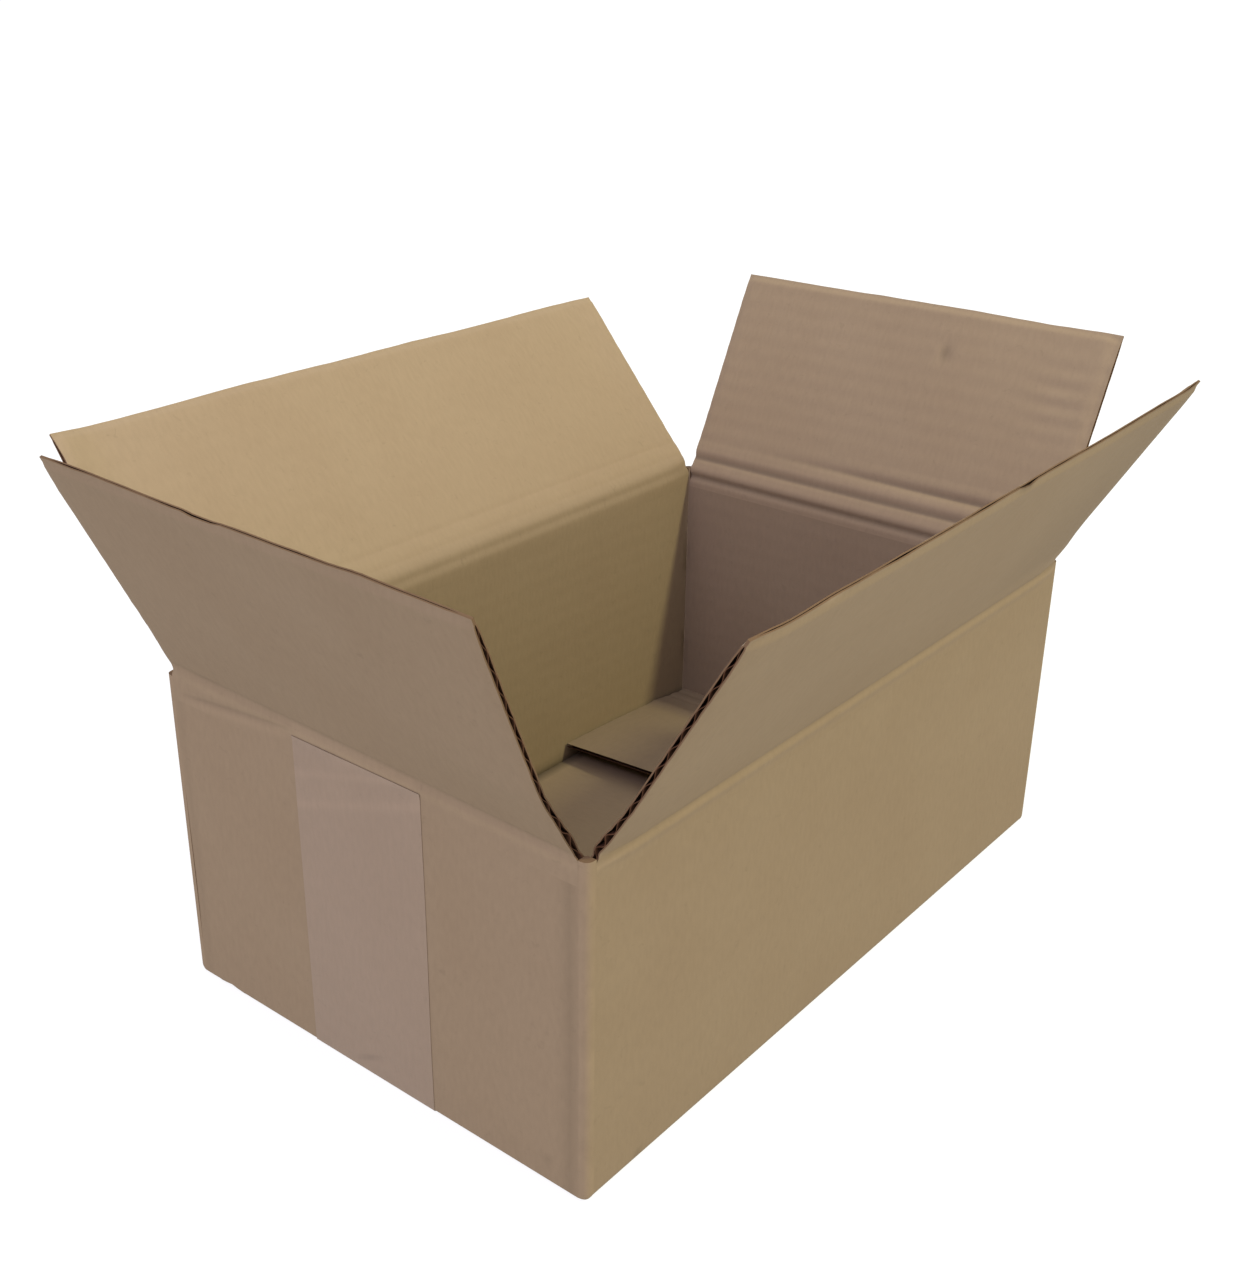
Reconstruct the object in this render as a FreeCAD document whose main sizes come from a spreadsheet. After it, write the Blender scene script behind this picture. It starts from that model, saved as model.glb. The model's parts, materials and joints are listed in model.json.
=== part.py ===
"""An open cardboard tray box of corrugated board, in millimetres.

One sheet of B-flute board is folded into four walls and a floor of four flaps.
Four top flaps hang on their creases and lean outward. A strip of clear tape closes
the seam of the floor and runs up both end walls.

+X runs along the length, +Y across the width and +Z up. The origin is in the middle
of the underside. The near end is at -X and the near side at -Y.
"""
import FreeCAD, Part
import Sketcher
import os

os.makedirs("parts", exist_ok=True)
doc = FreeCAD.newDocument("TrayBox")
sheet = doc.addObject("Spreadsheet::Sheet", "Sizes")

# Driving dimensions
DRIVING = [
    ("box_length", 238.0, "outside, along X"),
    ("box_width", 150.0, "outside, along Y"),
    ("side_height", 100.0, "underside to the crease of a side flap"),
    ("board", 2.6, "thickness of the board"),
    ("corner_radius", 3.0, "outside radius of the four upright folds"),
    ("fold_radius", 2.5, "outside radius of the folds at the floor"),
    ("end_foot", 0.8, "how far the end walls stop above the underside"),
    ("floor_gap", 0.1, "room between a short floor flap and the long ones under it"),
    ("floor_spring", 4.0, "degrees that a short floor flap springs up"),
    ("seam_gap", 0.5, "half the gap where two long flaps meet"),
    ("crease_inset", 0.65, "depth of a crease's axis behind the outer face"),
    ("crease_gap", 0.12, "room round the turning edge of a flap"),
    ("mitre_gap", 0.1, "room on each side of the crushed inside of a crease"),
    ("stack_gap", 0.15, "room between a closed end flap and the side flap over it"),
    ("swing_out", 120.0, "degrees from upright to a flap thrown back"),
    ("rib_depth", 0.4, "depth of the pressed line beside a crease"),
    ("rib_width", 3.0, "width of the pressed line beside a crease"),
    ("flute_pitch", 6.4, "one wave of the fluted paper"),
    ("flute_land", 1.2, "where the fluted paper is glued to a liner"),
    ("flute_tip", 1.0, "flat at the tip of a wave"),
    ("liner", 0.3, "thickness of a liner"),
    ("medium", 0.3, "thickness of the fluted paper"),
    ("first_flute", 6.8, "crease to the middle of the first open flute"),
    ("near_end_lean", 24.3, "degrees outward from upright"),
    ("near_side_lean", 31.5, "degrees outward from upright"),
    ("far_side_lean", 40.8, "degrees outward from upright"),
    ("far_end_lean", 26.5, "degrees outward from upright"),
    ("tab_width", 32.0, "glue tab, from the side wall"),
    ("tab_board", 1.6, "thickness of the pressed glue tab"),
    ("tab_taper", 8.0, "how much shorter the tab's edge is at each end"),
    ("tab_inset", 6.0, "glue tab, from the ends of the wall"),
    ("tape_width", 46.0, "packing tape"),
    ("tape_film", 0.1, "thickness of the packing tape"),
    ("tape_near_top", 94.0, "underside to the tape's end on the near wall"),
    ("tape_far_top", 55.0, "underside to the tape's end on the far wall"),
]
for row, (alias, number, note) in enumerate(DRIVING, start=1):
    sheet.set("A%d" % row, alias)
    sheet.set("B%d" % row, str(number))
    sheet.set("C%d" % row, note)
    sheet.setAlias("B%d" % row, alias)
doc.recompute()


def cells(text):
    """Turns each alias that a formula gives in angle marks into its cell of the sheet."""
    for alias, number, note in DRIVING:
        text = text.replace("<%s>" % alias, "Sizes.%s" % alias)
    return text


# Sizes worked out from the driving dimensions. LEAF is from a crease's axis to the
# board's inner face, and the drops are from the axis down to the top of the wall.
LEAF = "(<board> - <crease_inset>)"
FLAP_REACH = "(<box_width> / 2 - <crease_inset> - <seam_gap>)"
END_HEIGHT = "(<side_height> - <board> - <stack_gap>)"
LIP_DROP = "(<crease_inset> + <crease_gap>)"
OUTER_DROP = "((%s - <crease_inset> * cos(<swing_out>)) / sin(<swing_out>))" % LIP_DROP
LIP_START = "((%s - %s) / tan(<swing_out> - 90))" % (OUTER_DROP, LIP_DROP)
SIDE_RUN = "(<box_length> - 2 * <corner_radius>)"
END_RUN = "(<box_width> - 2 * <corner_radius>)"
# The slots between the flaps end at the crushed inside of the lower creases, so that
# nothing of the walls stands in the way of a closed end flap.
SLOT_LEVEL = "(%s - %s - <mitre_gap>)" % (END_HEIGHT, LEAF)
VOID_BASE = "(<flute_pitch> - <flute_land>)"
# The inner openings lie halfway between the outer ones. The pressed line takes the
# place of the first.
FIRST_INNER_FLUTE = "(<first_flute> + <flute_pitch> / 2 + <flute_pitch>)"
# Cuts run one thickness of board past each edge of a flap
CUT_PAST_EDGES = "2 * <board>"
# Millimetres within which two levels count as one
SAME_LEVEL = 0.001


def measure(formula):
    """The number that a formula gives with the sheet's present sizes."""
    return float(sheet.evalExpression(cells(formula)))


def new_body(name):
    body = doc.addObject("PartDesign::Body", name)
    body.Label = name
    return body


def new_sketch(body, name, role, offset=None):
    """A sketch on one of the body's own origin planes, moved along its normal."""
    sketch = body.newObject("Sketcher::SketchObject", name)
    plane = [item for item in body.Origin.OriginFeatures if item.Role == role][0]
    sketch.AttachmentSupport = [(plane, "")]
    sketch.MapMode = "FlatFace"
    if offset:
        sketch.setExpression("AttachmentOffset.Base.z", cells(offset))
    return sketch


def bind(sketch, constraint, formula):
    """Adds a constraint whose size is a formula over the sheet."""
    index = sketch.addConstraint(constraint)
    sketch.setExpression("Constraints[%d]" % index, cells(formula))


def draw_outline(sketch, corners):
    """Draws a closed outline, anticlockwise.

    A corner is (x, y), each a formula, or (x, y, radius) where an arc of that radius
    leads from it to the next corner, or (x, y, radius, "hollow") where that arc bends
    inward.
    """
    places = [FreeCAD.Vector(measure(corner[0]), measure(corner[1]), 0) for corner in corners]
    first = len(sketch.Geometry)
    count = len(corners)
    tails = []
    heads = []
    for number, corner in enumerate(corners):
        start = places[number]
        end = places[(number + 1) % count]
        hollow = len(corner) == 4
        if len(corner) == 2:
            sketch.addGeometry(Part.LineSegment(start, end))
        else:
            if hollow:
                start, end = end, start
            radius = measure(corner[2])
            chord = end.sub(start)
            rise = (radius ** 2 - (chord.Length / 2) ** 2) ** 0.5
            left = FreeCAD.Vector(-chord.y, chord.x, 0).normalize()
            centre = start.add(chord.multiply(0.5)).add(left.multiply(rise))
            circle = Part.Circle(centre, FreeCAD.Vector(0, 0, 1), radius)
            sketch.addGeometry(Part.ArcOfCircle(circle, circle.parameter(start), circle.parameter(end)))
        tails.append(2 if hollow else 1)
        heads.append(1 if hollow else 2)
    for number, corner in enumerate(corners):
        after = (number + 1) % count
        joint = Sketcher.Constraint("Coincident", first + number, heads[number], first + after, tails[after])
        sketch.addConstraint(joint)
    for number, corner in enumerate(corners):
        here = first + number
        place = places[number]
        bind(sketch, Sketcher.Constraint("DistanceX", -1, 1, here, tails[number], place.x), corner[0])
        bind(sketch, Sketcher.Constraint("DistanceY", -1, 1, here, tails[number], place.y), corner[1])
        if len(corner) > 2:
            bind(sketch, Sketcher.Constraint("Radius", here, measure(corner[2])), corner[2])


def pad(body, sketch, name, length, middle=True):
    feature = body.newObject("PartDesign::Pad", name)
    feature.Profile = sketch
    feature.Midplane = middle
    feature.setExpression("Length", cells(length))
    body.Tip = feature
    doc.recompute()
    return feature


def pocket(body, sketch, name, length):
    """Cuts a sketch through the body, to both sides of its plane."""
    before = body.Shape.Volume
    feature = body.newObject("PartDesign::Pocket", name)
    feature.Profile = sketch
    feature.Midplane = True
    feature.setExpression("Length", cells(length))
    body.Tip = feature
    doc.recompute()
    assert feature.Shape.Volume < before, name + " cuts nothing"
    return feature


def mirror(body, feature, name, role):
    """Repeats a feature on the other side of an origin plane."""
    plane = [item for item in body.Origin.OriginFeatures if item.Role == role][0]
    copy = body.newObject("PartDesign::Mirrored", name)
    copy.Originals = [feature]
    copy.MirrorPlane = (plane, [""])
    body.Tip = copy
    doc.recompute()
    return copy


def row_of_cuts(body, feature, name, sketch, count, spacing):
    """Repeats a cut along the upright axis of its sketch."""
    row = body.newObject("PartDesign::LinearPattern", name)
    row.Originals = [feature]
    row.Direction = (sketch, ["V_Axis"])
    row.setExpression("Occurrences", cells(count))
    row.setExpression("Length", cells("(%s - 1) * %s" % (count, spacing)))
    body.Tip = row
    doc.recompute()
    return row


# Folded tray: walls, glue tab and floor flaps
def wall_top(outer, height):
    """The crushed top of a wall, from its inner face to its outer one.

    The ridge stays clear of the flap's turning edge, closed or thrown back.
    """
    return [
        ("%s + <board>" % outer, "%s - %s - <mitre_gap>" % (height, LEAF)),
        ("%s + 2 * <crease_inset>" % outer, "%s - %s" % (height, LIP_DROP)),
        ("%s + %s" % (outer, LIP_START), "%s - %s" % (height, LIP_DROP)),
        (outer, "%s - %s" % (height, OUTER_DROP)),
    ]


def make_tray():
    body = new_body("tray_body")
    ring = new_sketch(body, "wall_plan", "XY_Plane", "<end_foot>")
    for inset, radius in (("0", "<corner_radius>"), ("<board>", "(<corner_radius> - <board>)")):
        half_x = "(<box_length> / 2 - %s)" % inset
        half_y = "(<box_width> / 2 - %s)" % inset
        short_x = "(%s - %s)" % (half_x, radius)
        short_y = "(%s - %s)" % (half_y, radius)
        draw_outline(ring, [
            ("-" + short_x, "-" + half_y),
            (short_x, "-" + half_y, radius),
            (half_x, "-" + short_y),
            (half_x, short_y, radius),
            (short_x, half_y),
            ("-" + short_x, half_y, radius),
            ("-" + half_x, short_y),
            ("-" + half_x, "-" + short_y, radius),
        ])
    walls = pad(body, ring, "walls", "%s - <end_foot>" % SLOT_LEVEL, middle=False)

    # Rounds the foot of the walls, which shows at the corners
    foot = measure("<end_foot>")
    middle_x = measure("<box_length> / 2 - <board> / 2")
    middle_y = measure("<box_width> / 2 - <board> / 2")
    edges = []
    for number, edge in enumerate(walls.Shape.Edges, start=1):
        box = edge.BoundBox
        at_foot = abs(box.ZMin - foot) < SAME_LEVEL and abs(box.ZMax - foot) < SAME_LEVEL
        outside_x = max(abs(box.XMin), abs(box.XMax)) > middle_x
        outside_y = max(abs(box.YMin), abs(box.YMax)) > middle_y
        if at_foot and (outside_x or outside_y):
            edges.append("Edge%d" % number)
    rounding = body.newObject("PartDesign::Fillet", "foot_rounding")
    rounding.Base = (walls, edges)
    rounding.setExpression("Radius", cells("<fold_radius> - <end_foot>"))
    body.Tip = rounding
    doc.recompute()

    outer = "-<box_width> / 2"
    side = new_sketch(body, "side_section", "YZ_Plane")
    draw_outline(side, [
        ("%s + <fold_radius>" % outer, "0"),
        ("-<seam_gap>", "0"),
        ("-<seam_gap>", "<board>"),
        ("%s + <board>" % outer, "<board>"),
    ] + wall_top(outer, "<side_height>") + [
        (outer, "<fold_radius>", "<fold_radius>"),
    ])
    near_side = pad(body, side, "near_side_wall", SIDE_RUN)
    mirror(body, near_side, "far_side_wall", "XZ_Plane")

    outer = "-<box_length> / 2"
    reach = "(%s + <crease_inset> - <board>)" % FLAP_REACH
    under = "(<board> + <floor_gap>)"
    rise = "(<fold_radius> - <end_foot>)"
    end = new_sketch(body, "end_section", "XZ_Plane")
    draw_outline(end, [
        ("%s + <fold_radius> - sqrt(<fold_radius> ^ 2 - %s ^ 2)" % (outer, rise), "<end_foot>"),
        ("%s + <board>" % outer, "<end_foot>"),
        ("%s + <board>" % outer, under),
        ("%s + <board> + %s * cos(<floor_spring>)" % (outer, reach),
         "%s + %s * sin(<floor_spring>)" % (under, reach)),
        ("%s + <board> + %s * cos(<floor_spring>) - <board> * sin(<floor_spring>)" % (outer, reach),
         "%s + %s * sin(<floor_spring>) + <board> * cos(<floor_spring>)" % (under, reach)),
        ("%s + <board>" % outer, "%s + <board> / cos(<floor_spring>)" % under),
    ] + wall_top(outer, END_HEIGHT) + [
        (outer, "<fold_radius>", "<fold_radius>"),
    ])
    near_end = pad(body, end, "near_end_wall", END_RUN)
    mirror(body, near_end, "far_end_wall", "YZ_Plane")

    # Glue tab inside the near end wall, an extension of the far side wall
    tab = new_sketch(body, "tab_outline", "YZ_Plane", "-<box_length> / 2 + <board> / 2")
    root = "(<box_width> / 2 - <board> / 2)"
    tip = "(<box_width> / 2 - <board> - <tab_width>)"
    low = "(2 * <board> + <tab_inset>)"
    high = "(%s - <tab_inset>)" % SLOT_LEVEL
    draw_outline(tab, [
        (root, low),
        (root, high),
        (tip, "%s - <tab_taper>" % high),
        (tip, "%s + <tab_taper>" % low),
    ])
    pad(body, tab, "glue_tab", "<board> / 2 + <tab_board>", middle=False)

    recess = new_sketch(body, "tape_recess", "XZ_Plane")
    draw_outline(recess, tape_section())
    pocket(body, recess, "tape_bed", "<tape_width>")
    return body


# Packing tape
def tape_section():
    """The tape's path along the underside and up both end walls, pressed flush."""
    half = "(<box_length> / 2)"
    turn = "(<box_length> / 2 - <fold_radius>)"
    inner = "(<box_length> / 2 - <tape_film>)"
    tight = "(<fold_radius> - <tape_film>)"
    return [
        ("-" + turn, "0"),
        (turn, "0", "<fold_radius>"),
        (half, "<fold_radius>"),
        (half, "<tape_far_top>"),
        (inner, "<tape_far_top>"),
        (inner, "<fold_radius>", tight, "hollow"),
        (turn, "<tape_film>"),
        ("-" + turn, "<tape_film>", tight, "hollow"),
        ("-" + inner, "<fold_radius>"),
        ("-" + inner, "<tape_near_top>"),
        ("-" + half, "<tape_near_top>"),
        ("-" + half, "<fold_radius>", "<fold_radius>"),
    ]


def make_tape():
    body = new_body("bottom_tape")
    section = new_sketch(body, "tape_section", "XZ_Plane")
    draw_outline(section, tape_section())
    pad(body, section, "tape_strip", "<tape_width>")
    return body


# Top flaps
def make_flap(name, run, x, y, height, yaw, lean):
    """A flap, upright about its crease along X, then turned and leaned outward.

    Its outer face looks to -Y until it is turned.
    """
    body = new_body(name)
    edge = new_sketch(body, name + "_crease", "YZ_Plane")
    edge.addGeometry(Part.Circle(FreeCAD.Vector(0, 0, 0), FreeCAD.Vector(0, 0, 1), measure("<crease_inset>")))
    edge.addConstraint(Sketcher.Constraint("Coincident", 0, 3, -1, 1))
    bind(edge, Sketcher.Constraint("Radius", 0, measure("<crease_inset>")), "<crease_inset>")
    pad(body, edge, name + "_turning_edge", run)

    rib = "(<first_flute> + <flute_pitch> / 2)"
    section = new_sketch(body, name + "_section", "YZ_Plane")
    draw_outline(section, [
        ("-<crease_inset>", "0"),
        ("<crease_inset>", "0"),
        ("<crease_inset>", "<crease_inset> + <mitre_gap>"),
        (LEAF, "%s + <mitre_gap>" % LEAF),
        (LEAF, "%s - <rib_width> / 2" % rib),
        ("%s - <rib_depth>" % LEAF, rib),
        (LEAF, "%s + <rib_width> / 2" % rib),
        (LEAF, FLAP_REACH),
        ("-<crease_inset>", FLAP_REACH),
    ])
    pad(body, section, name + "_board", run)

    outer_liner = "(<liner> - <crease_inset>)"
    inner_liner = "(%s - <liner>)" % LEAF
    for layer, base, tip, first in (
        ("outer", outer_liner, "%s - <medium>" % inner_liner, "<first_flute>"),
        ("inner", inner_liner, "%s + <medium>" % outer_liner, FIRST_INNER_FLUTE),
    ):
        flute = new_sketch(body, "%s_%s_flute" % (name, layer), "YZ_Plane")
        corners = [
            (base, "%s - %s / 2" % (first, VOID_BASE)),
            (tip, "%s - <flute_tip> / 2" % first),
            (tip, "%s + <flute_tip> / 2" % first),
            (base, "%s + %s / 2" % (first, VOID_BASE)),
        ]
        if layer == "inner":
            corners.reverse()
        draw_outline(flute, corners)
        cut = pocket(body, flute, "%s_%s_opening" % (name, layer), "%s + %s" % (run, CUT_PAST_EDGES))
        room = "(%s - %s / 2 - <liner> - (%s))" % (FLAP_REACH, VOID_BASE, first)
        count = "(floor(%s / <flute_pitch>) + 1)" % room
        row_of_cuts(body, cut, "%s_%s_flutes" % (name, layer), flute, count, "<flute_pitch>")

    place = "placement(vector(%s; %s; %s); rotation(%s; 0; %s))" % (x, y, height, yaw, lean)
    body.setExpression("Placement", cells(place))
    return body


end_crease = "(<box_length> / 2 - <crease_inset>)"
side_crease = "(<box_width> / 2 - <crease_inset>)"
parts = [
    make_tray(),
    make_tape(),
    make_flap("near_side_flap", SIDE_RUN, "0", "-" + side_crease, "<side_height>", "0", "<near_side_lean>"),
    make_flap("far_side_flap", SIDE_RUN, "0", side_crease, "<side_height>", "180", "<far_side_lean>"),
    make_flap("near_end_flap", END_RUN, "-" + end_crease, "0", END_HEIGHT, "-90", "<near_end_lean>"),
    make_flap("far_end_flap", END_RUN, end_crease, "0", END_HEIGHT, "90", "<far_end_lean>"),
]
doc.recompute()

# Checks and export
for item in doc.Objects:
    assert "Invalid" not in item.State and "Error" not in item.State, item.Name
for part in parts:
    assert not part.Shape.isNull() and part.Shape.isValid(), part.Label
    assert len(part.Shape.Solids) == 1, part.Label
for part in parts:
    part.Shape.exportStep("parts/%s.step" % part.Label)
    box = part.Shape.BoundBox
    low = (round(box.XMin, 2), round(box.YMin, 2), round(box.ZMin, 2))
    high = (round(box.XMax, 2), round(box.YMax, 2), round(box.ZMax, 2))
    print(part.Label, "volume", round(part.Shape.Volume, 1), "from", low, "to", high)
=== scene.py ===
# %% [markdown]
# # A cardboard tray box
#
# The real box is one sheet of corrugated board. It is cut flat, creased, folded and closed
# with a strip of clear tape. This lesson makes it the same way: each piece starts as a flat
# grid, gets its layers while it is flat, and is folded last by moving its points.
#
# Loading the frame comes first, because every piece takes its size from it.

# %% Load the frame
import bmesh
import bpy
import json
import math
from mathutils import Matrix, Vector, noise


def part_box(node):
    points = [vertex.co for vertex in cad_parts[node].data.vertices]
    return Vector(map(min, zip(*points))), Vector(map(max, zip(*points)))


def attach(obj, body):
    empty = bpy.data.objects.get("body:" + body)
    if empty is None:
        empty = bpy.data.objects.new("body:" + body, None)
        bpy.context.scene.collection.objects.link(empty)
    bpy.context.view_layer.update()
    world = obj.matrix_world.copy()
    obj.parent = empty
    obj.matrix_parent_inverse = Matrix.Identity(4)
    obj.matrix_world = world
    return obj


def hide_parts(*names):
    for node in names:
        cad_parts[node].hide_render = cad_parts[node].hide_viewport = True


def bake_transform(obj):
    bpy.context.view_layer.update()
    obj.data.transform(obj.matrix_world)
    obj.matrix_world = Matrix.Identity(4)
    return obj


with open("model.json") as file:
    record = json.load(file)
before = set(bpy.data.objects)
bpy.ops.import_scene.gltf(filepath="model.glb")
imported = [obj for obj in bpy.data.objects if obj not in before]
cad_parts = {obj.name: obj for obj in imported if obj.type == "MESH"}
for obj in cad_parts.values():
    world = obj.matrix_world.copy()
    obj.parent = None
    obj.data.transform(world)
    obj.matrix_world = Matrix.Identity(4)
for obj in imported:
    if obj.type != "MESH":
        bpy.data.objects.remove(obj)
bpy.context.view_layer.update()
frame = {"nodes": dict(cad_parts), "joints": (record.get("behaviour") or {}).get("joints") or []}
print("nodes:", sorted(frame["nodes"]))

# %% [markdown]
# ## Sizes
#
# The lesson works in millimetres, the unit that board is sold in, and turns each finished
# mesh to metres. Sizes could be typed in again, but then they would drift from the frame.
# So the walls, creases, leans and flap lengths are all read from it, and only what belongs to
# the board and the tape themselves is written here.

# %% Sizes of the board and the tape
MM = 0.001
BOARD = 2.6
LINER = 0.36
MEDIUM = 0.3
FLUTE_PITCH = 6.4
FIRST_INNER_TIP = 6.8
CREASE_INSET = 0.65
CORNER_RADIUS = 3.0
FOLD_RADIUS = 2.5
END_FOOT = 0.3
FOOT_ROUND = 0.6
FLOOR_GAP = 0.1
SEAM_GAP = 0.5
WALL_CUT = 90.5
SLOT_LEVEL = 97.4
TAPE_WIDTH = 46.0
# A place deeper in the board than this belongs to its inner side
INNER_SIDE = 1.0
UP = Vector((0, 0, 1))


def places(low, high, step):
    """Evenly spaced places from low to high, about a step apart."""
    count = max(1, round((high - low) / step))
    return [low + (high - low) * number / count for number in range(count + 1)]


def ramp(value, low, high):
    """Rises smoothly from 0 at low to 1 at high."""
    share = min(1.0, max(0.0, (value - low) / (high - low)))
    return share * share * (3 - 2 * share)


def hump(value, middle, width):
    """A soft hump of height 1, where width is the distance at which it has mostly faded."""
    return math.exp(-((value - middle) / (0.6 * width)) ** 2)


def spot(u, v, middle, across, upward):
    """A soft hump in both directions, at a middle given as a pair."""
    return hump(u, middle[0], across) * hump(v, middle[1], upward)


def ripple(s, v, size, seed):
    """Smooth random height between about -1 and 1. Its bumps are about size apart."""
    return noise.noise(Vector((s / size, v / size, seed)))


print("flutes across a 74 mm flap:", round(74 / FLUTE_PITCH, 1))

# %% [markdown]
# ## The four panels
#
# Seen from outside, the panels follow each other from left to right: near end, near side,
# far end, far side. Places on the sheet have three numbers. s runs along the walls, v is the
# height above the table measured along the sheet, and w is the depth in from the outer face.
# The same three numbers later steer the paper's grain, so it runs on across every fold.

# %% Read the panels from the frame
ORDER = ["near_end", "near_side", "far_end", "far_side"]
CORNER_ARC = CORNER_RADIUS * math.pi / 2


def read_panel(side, start):
    """What a panel needs to be folded, from its joint and its flap's box."""
    joint = next(item for item in frame["joints"] if item["child"] == side)
    crease = Vector(joint["pos_m"]) / MM
    outward = Vector((crease.x, crease.y, 0)).normalized()
    along = UP.cross(outward)
    lean = math.radians(-joint["range_deg"][0] - 90)
    low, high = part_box(side + "_flap")
    run = abs((high - low).dot(along)) / MM
    leaf = BOARD - CREASE_INSET
    reach = (high.z / MM - crease.z - leaf * math.sin(lean)) / math.cos(lean)
    return {
        "side": side, "crease": crease, "outward": outward, "along": along,
        "lean": lean, "run": run, "reach": reach, "start": start,
    }


PANELS = {}
start = 0.0
for side in ORDER:
    PANELS[side] = read_panel(side, start)
    start += PANELS[side]["run"] + CORNER_ARC
    print(side, "run", round(PANELS[side]["run"], 1), "reach", round(PANELS[side]["reach"], 2),
          "lean", round(math.degrees(PANELS[side]["lean"]), 1))

# %% [markdown]
# ## From a flat grid to a piece
#
# A sheet could be drawn point by point. Blender's grid operator is quicker: it makes the
# faces, and the points are only slid to the lines that are wanted. Extruding the faces then
# gives paper its thickness. Each face notes which paper shows on it, by a material's number.

# %% Grid, thickness and finish
# DARK_INSIDE faces get the dark fluting paper. That is the medium, and on the liners' hidden sides it is
# painted shade.
OUTER_FACE, RIM, DARK_INSIDE, INNER_FACE = range(4)


def flat_grid(columns, rows):
    """A flat sheet in a new bmesh, with a line of points at each column and row."""
    bm = bmesh.new()
    bmesh.ops.create_grid(bm, x_segments=len(columns) - 1, y_segments=len(rows) - 1, size=0.5)
    for vert in bm.verts:
        column = round((vert.co.x + 0.5) * (len(columns) - 1))
        row = round((vert.co.y + 0.5) * (len(rows) - 1))
        vert.co = Vector((columns[column], rows[row], 0))
    return bm


def thicken(bm, thickness, hidden_side=0, rim=RIM):
    """Extrudes the whole sheet along w and gives each face the number of its material.

    hidden_side is 1 where the side with the larger w faces the inside of the board, and -1
    where the other one does.
    """
    kept = bmesh.ops.extrude_face_region(bm, geom=list(bm.faces), use_keep_orig=True)
    raised = [item for item in kept["geom"] if isinstance(item, bmesh.types.BMVert)]
    bmesh.ops.translate(bm, verts=raised, vec=(0, 0, thickness))
    bmesh.ops.recalc_face_normals(bm, faces=bm.faces)
    for face in bm.faces:
        face.material_index = rim if abs(face.normal.z) < 0.2 else OUTER_FACE
        if face.normal.z > 0.2:
            face.material_index = INNER_FACE
        if face.normal.z * hidden_side > 0.2:
            face.material_index = DARK_INSIDE


def join(target, part):
    """Adds one bmesh to another, as a layer of the same piece."""
    mesh = bpy.data.meshes.new("layer")
    part.to_mesh(mesh)
    target.from_mesh(mesh)
    bpy.data.meshes.remove(mesh)
    part.free()


def finish_piece(name, bm, fold, materials, tone=None, sharp_degrees=40):
    """Folds a flat bmesh and makes it an object at the origin, in metres.

    tone gives for a place on the sheet how much lighter or darker its paper is painted, as a share: wear
    and marks, and also painted light and shade.
    """
    sheet_place = bm.verts.layers.float_vector.new("sheet")
    sheet_tone = bm.verts.layers.float.new("tone")
    for vert in bm.verts:
        flat = vert.co.copy()
        vert.co = fold(*flat) * MM
        vert[sheet_place] = flat
        vert[sheet_tone] = tone(*flat) if tone else 0.0
    bmesh.ops.recalc_face_normals(bm, faces=bm.faces)
    for face in bm.faces:
        face.smooth = True
    mesh = bpy.data.meshes.new(name)
    bm.to_mesh(mesh)
    bm.free()
    mesh.set_sharp_from_angle(angle=math.radians(sharp_degrees))
    for material in materials:
        mesh.materials.append(material)
    piece = bpy.data.objects.new(name, mesh)
    bpy.context.scene.collection.objects.link(piece)
    print(name, "triangles", 2 * len(mesh.polygons))
    return piece


# %% [markdown]
# ## Kraft paper
#
# Kraft liner is unbleached softwood paper: warm brown, matt, a little cloudy, with short dark
# and pale fibres. The fluting under it shows through as a faint washboard. A photograph of
# paper would look right from one distance only, so the finish is built from noise whose scale
# is a real size in millimetres.

# %% One helper for nodes, one for colours


def linear(hex_code):
    """An sRGB hex colour as Blender's linear red, green, blue and alpha."""
    channels = [int(hex_code[place:place + 2], 16) / 255 for place in (1, 3, 5)]
    curve = [c / 12.92 if c <= 0.04045 else ((c + 0.055) / 1.055) ** 2.4 for c in channels]
    return (*curve, 1.0)


def add_node(tree, kind, inputs=None, **settings):
    """Adds a node. An input is a value, or another node's output to link."""
    node = tree.nodes.new(kind)
    for name, value in settings.items():
        setattr(node, name, value)
    for name, value in (inputs or {}).items():
        if isinstance(value, bpy.types.NodeSocket):
            tree.links.new(value, node.inputs[name])
        else:
            node.inputs[name].default_value = value
    return node


# %% Kraft liner and bare fluting


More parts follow.
